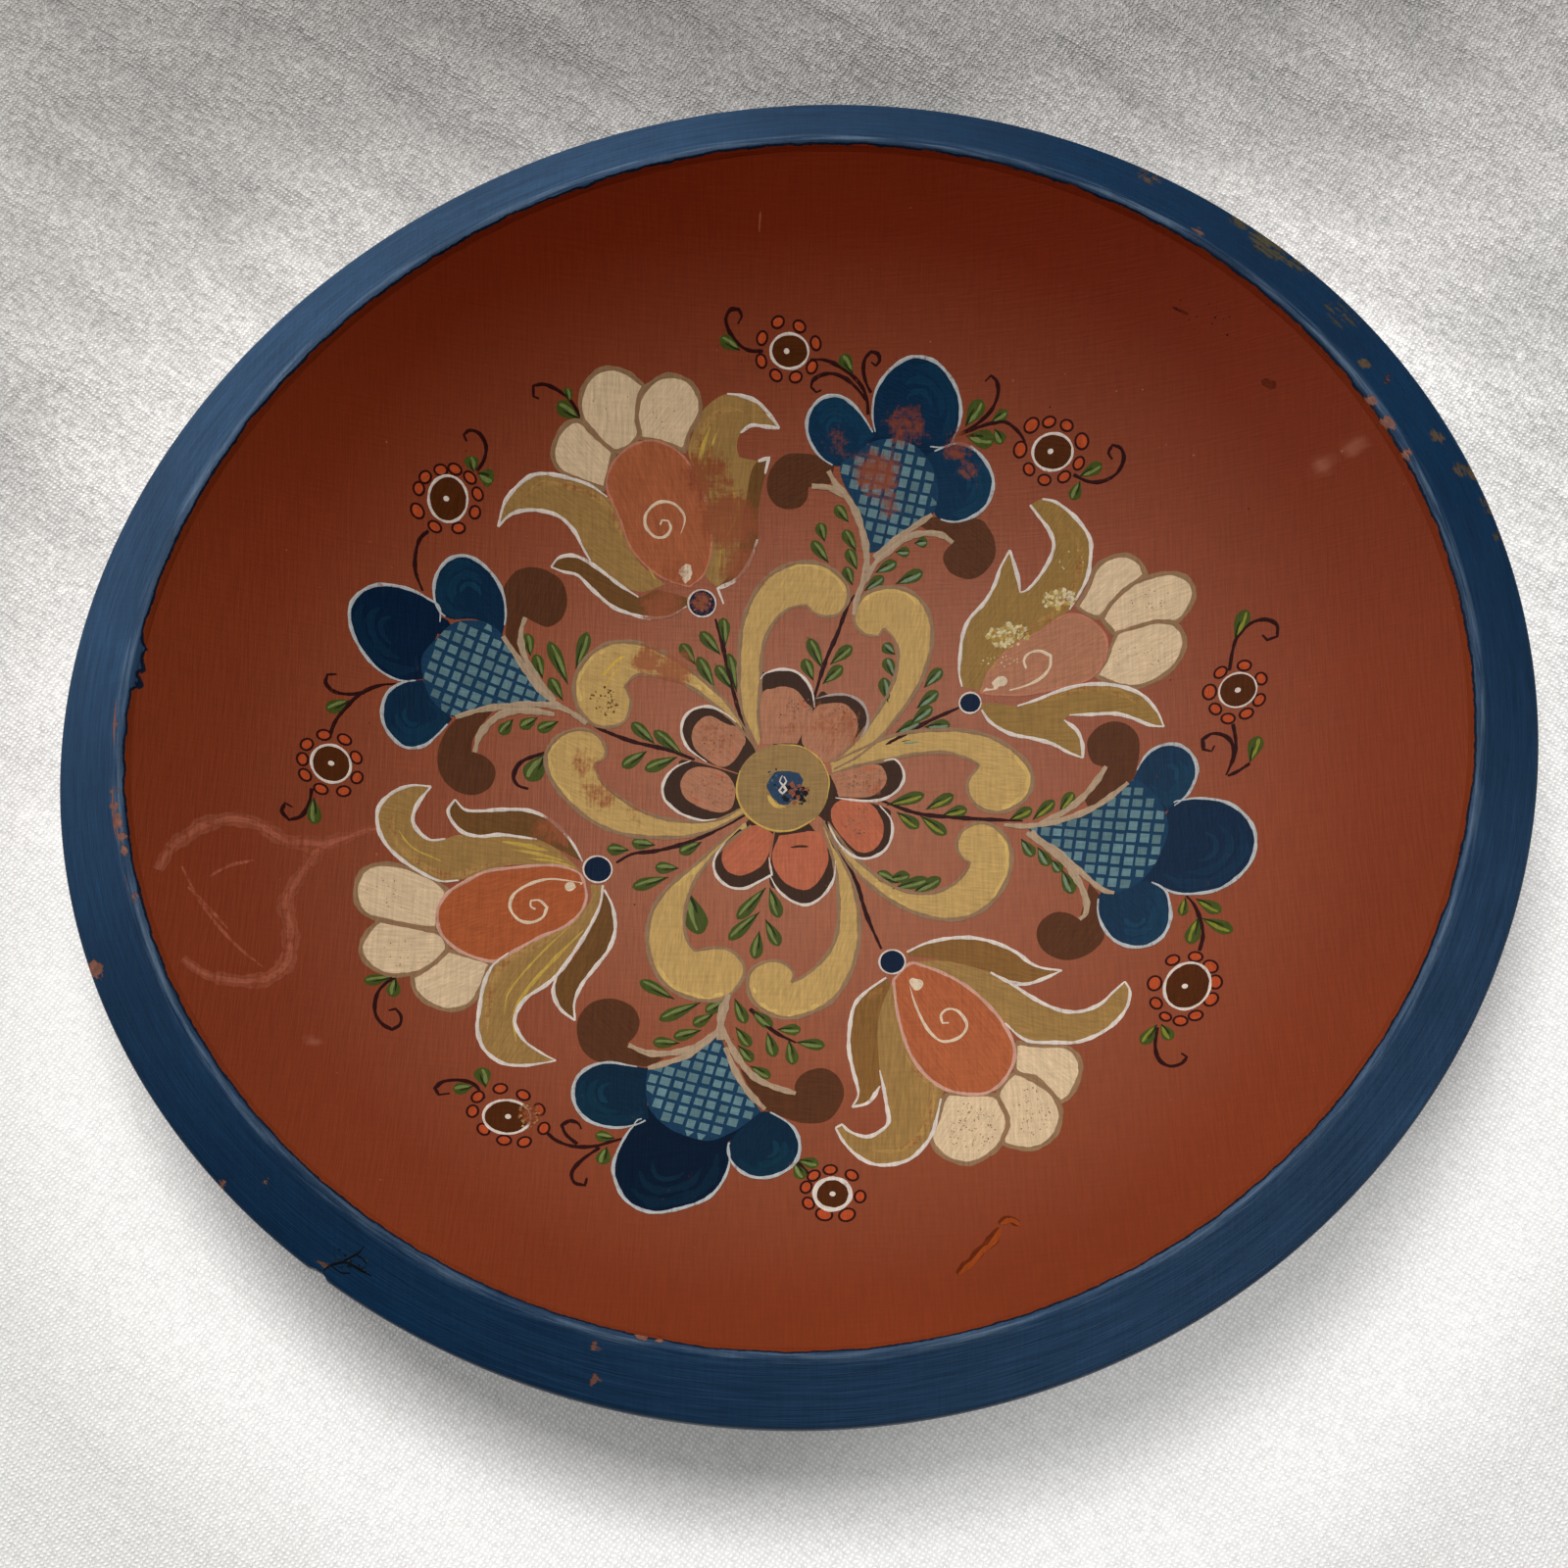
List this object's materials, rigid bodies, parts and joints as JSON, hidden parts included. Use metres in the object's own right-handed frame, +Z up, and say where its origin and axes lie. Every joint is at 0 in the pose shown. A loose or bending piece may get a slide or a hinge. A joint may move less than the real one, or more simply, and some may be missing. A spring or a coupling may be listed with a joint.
{
  "type": "painted wooden bowl",
  "caption": "Shallow oval turned wooden bowl with a broad sloping rim, rounded lip and low foot ring, blue outside and brick red inside.",
  "frame": {"origin": "on the surface it stands on, under the centre of the bowl", "axes": "+Z up, out of the hollow; +X along the wood's grain, the longer axis of the oval"},
  "size_m": [0.3205, 0.3041, 0.0584],
  "materials": {
    "bare_wood": "bare aged wood, brown and dry, showing on the underside and foot",
    "blue_paint": "aged blue oil paint with brush streaks, satin, rubbed at the lip, with small chips to a salmon undercoat",
    "red_paint": "aged brick-red oil paint, satin, with painted flower ornament"
  },
  "bodies": {
    "root": {"turned_bowl": "bare_wood", "blue_outer_coat": "blue_paint", "red_inside_coat": "red_paint"}
  },
  "joints": []
}
